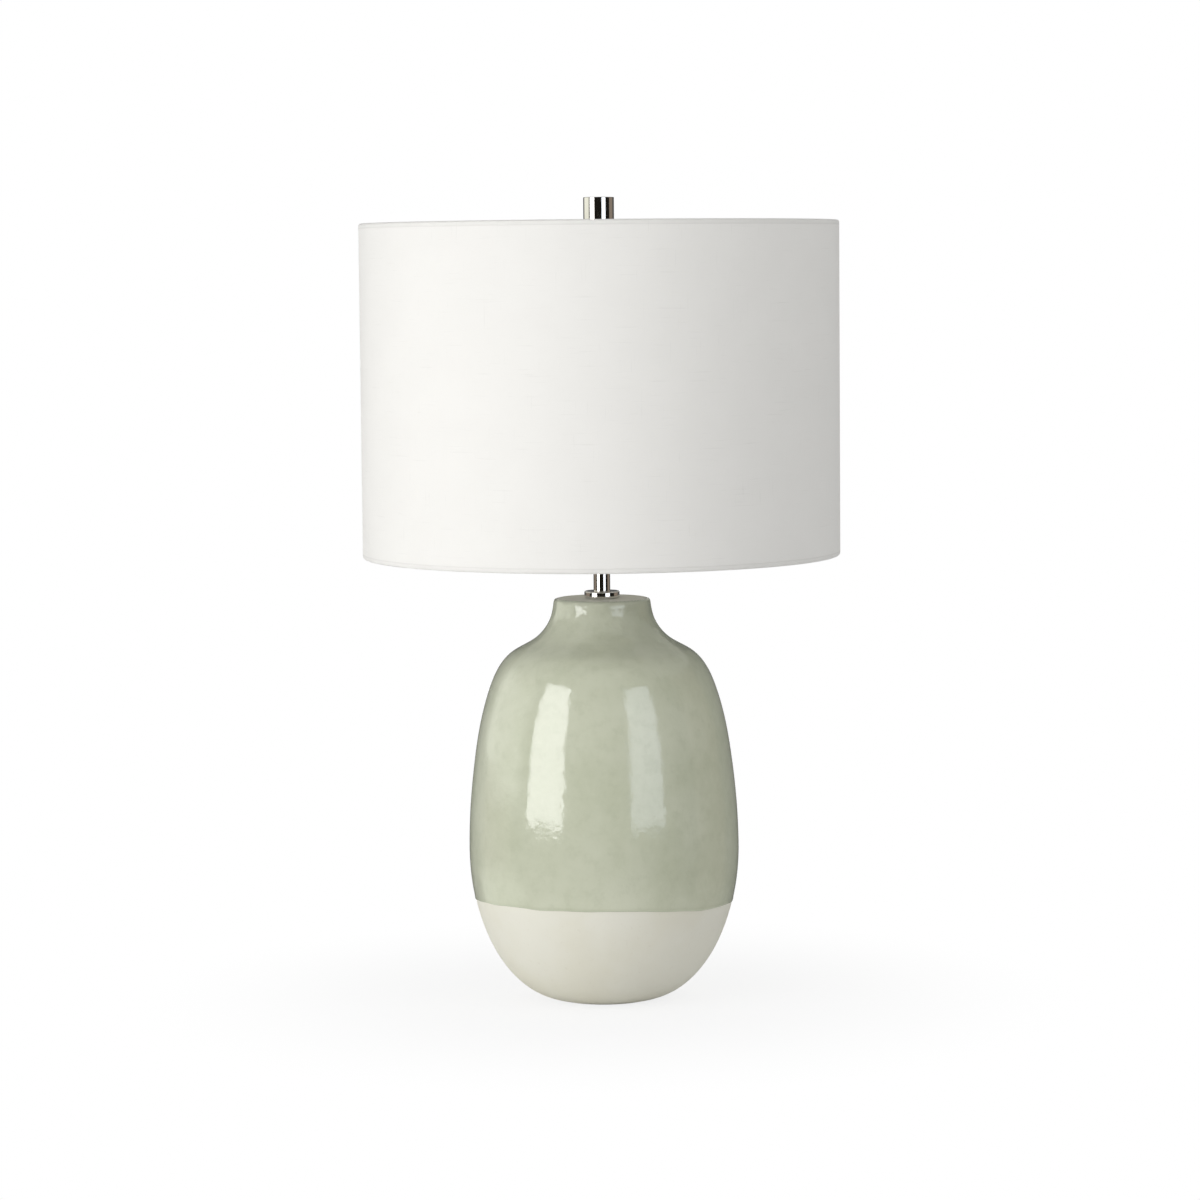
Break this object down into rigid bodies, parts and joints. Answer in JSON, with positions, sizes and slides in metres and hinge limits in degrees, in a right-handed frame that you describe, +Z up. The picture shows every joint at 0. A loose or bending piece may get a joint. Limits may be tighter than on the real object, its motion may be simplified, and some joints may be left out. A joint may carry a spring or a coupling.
{
  "type": "table lamp",
  "caption": "Table lamp with a glazed ceramic jar base, short polished stem, harp and white linen drum shade held by a cylindrical finial.",
  "frame": {"origin": "centre of the foot on the table", "axes": "+Z up the stem, -Y the front, +Y the cord outlet and the shade's seam, harp in the XZ plane"},
  "size_m": [0.406, 0.4064, 0.6831],
  "materials": {
    "jar_glaze": "pale sage glaze with a fine crackle, glossy, bare cream clay on the lowest quarter",
    "felt": "pressed felt",
    "bush_plastic": "moulded",
    "polished_nickel": "polished nickel plate",
    "plain_steel": "zinc plated",
    "clear_gasket": "soft washer",
    "harp_nickel": "satin nickel plate",
    "holder_nickel": "nickel-plated brass",
    "insulating_paper": "pressed board",
    "phenolic": "moulded",
    "brass": "plain",
    "bulb_opal": "opal white",
    "bulb_insulator_glass": "black glass",
    "cap_aluminium": "plain",
    "ring_wire": "plated wire",
    "shade_sheet": "satin sheet",
    "shade_linen": "plain-woven white linen"
  },
  "bodies": {
    "base": {"jar_body": "jar_glaze", "foot_felt": "felt", "cord_grommet": "bush_plastic", "neck_washer": "plain_steel", "neck_nut": "plain_steel", "threaded_tube": "plain_steel", "neck_gasket": "clear_gasket", "neck_collar": "polished_nickel", "stem_sleeve": "polished_nickel", "harp_saddle": "harp_nickel", "saddle_nut": "holder_nickel", "socket_cap": "holder_nickel", "cap_set_screw": "plain_steel", "socket_shell": "holder_nickel", "socket_liner": "insulating_paper", "socket_core": "phenolic", "screw_shell": "brass", "centre_contact": "brass"},
    "switch": {"switch_shaft": "brass", "switch_knob": "phenolic"},
    "bulb": {"bulb_contact": "cap_aluminium", "bulb_insulator": "bulb_insulator_glass", "bulb_cap": "cap_aluminium", "bulb_glass": "bulb_opal"},
    "harp": {"harp_wire": "harp_nickel"},
    "sleeve_left": {"harp_sleeve_left": "harp_nickel"},
    "sleeve_right": {"harp_sleeve_right": "harp_nickel"},
    "stud": {"harp_stud": "plain_steel"},
    "shade": {"shade_hub": "ring_wire", "shade_arms": "ring_wire", "shade_top_ring": "ring_wire", "shade_bottom_ring": "ring_wire", "shade_liner": "shade_sheet", "shade_cover": "shade_linen"},
    "finial_washer": {"finial_washer": "polished_nickel"},
    "finial": {"finial": "polished_nickel"}
  },
  "joints": [
    {"name": "switch_turn", "type": "hinge", "parent": "base", "child": "switch", "pos_m": [0, -0.02, 0.4508], "axis": [0, -1, 0], "continuous": true},
    {"name": "bulb_lift", "type": "slide", "parent": "base", "child": "bulb", "axis": [0, 0, 1], "range_m": [0, 0.028]},
    {"name": "harp_lift", "type": "slide", "parent": "base", "child": "harp", "axis": [0, 0, 1], "range_m": [0, 0.03]},
    {"name": "sleeve_left_lift", "type": "slide", "parent": "harp", "child": "sleeve_left", "axis": [0, 0, 1], "range_m": [0, 0.018]},
    {"name": "sleeve_right_lift", "type": "slide", "parent": "harp", "child": "sleeve_right", "axis": [0, 0, 1], "range_m": [0, 0.018]},
    {"name": "shade_turn", "type": "hinge", "parent": "harp", "child": "stud", "pos_m": [0, 0, 0.6458], "axis": [0, 0, 1], "continuous": true},
    {"name": "shade_lift", "type": "slide", "parent": "stud", "child": "shade", "axis": [0, 0, 1], "range_m": [0, 0.02]},
    {"name": "finial_rise", "type": "slide", "parent": "shade", "child": "finial_washer", "axis": [0, 0, 1], "range_m": [0, 0.01129]},
    {"name": "finial_turn", "type": "hinge", "parent": "finial_washer", "child": "finial", "pos_m": [0, 0, 0.668], "axis": [0, 0, 1], "range_deg": [0, 4310]}
  ],
  "couplings": [
    {"joint": "finial_rise", "follows": "finial_turn", "m_per_rad": 0.00014977}
  ]
}
